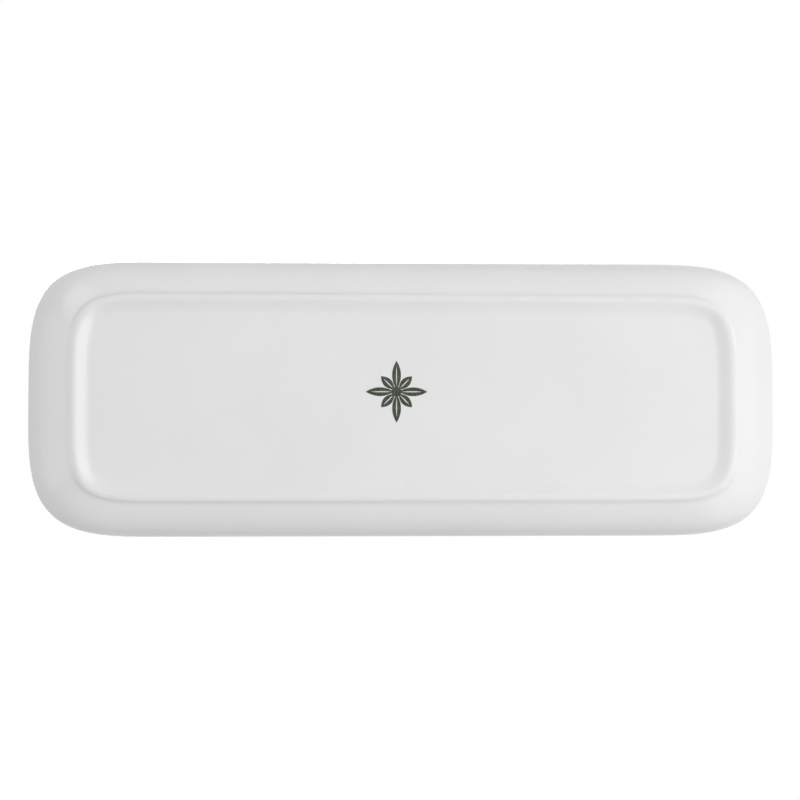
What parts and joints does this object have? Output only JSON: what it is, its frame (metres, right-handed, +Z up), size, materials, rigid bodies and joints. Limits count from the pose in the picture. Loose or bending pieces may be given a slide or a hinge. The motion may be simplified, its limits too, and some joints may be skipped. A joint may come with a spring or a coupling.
{
  "type": "rectangular plate",
  "caption": "Shallow rectangular serving plate in white glazed porcelain, with rounded corners, a flared wall, a round lip and a low foot ring.",
  "frame": {"origin": "on the table, under the middle of the plate, where the foot ring stands", "axes": "+X along the plate's length, +Y across its width, +Z up out of the well"},
  "size_m": [0.38, 0.1394, 0.02],
  "materials": {
    "bare_porcelain": "matte",
    "white_glaze": "gloss",
    "green_print": "gloss"
  },
  "bodies": {
    "root": {"porcelain_body": "bare_porcelain", "glaze_coat": "white_glaze", "base_glaze": "white_glaze", "base_print": "green_print"}
  },
  "joints": []
}
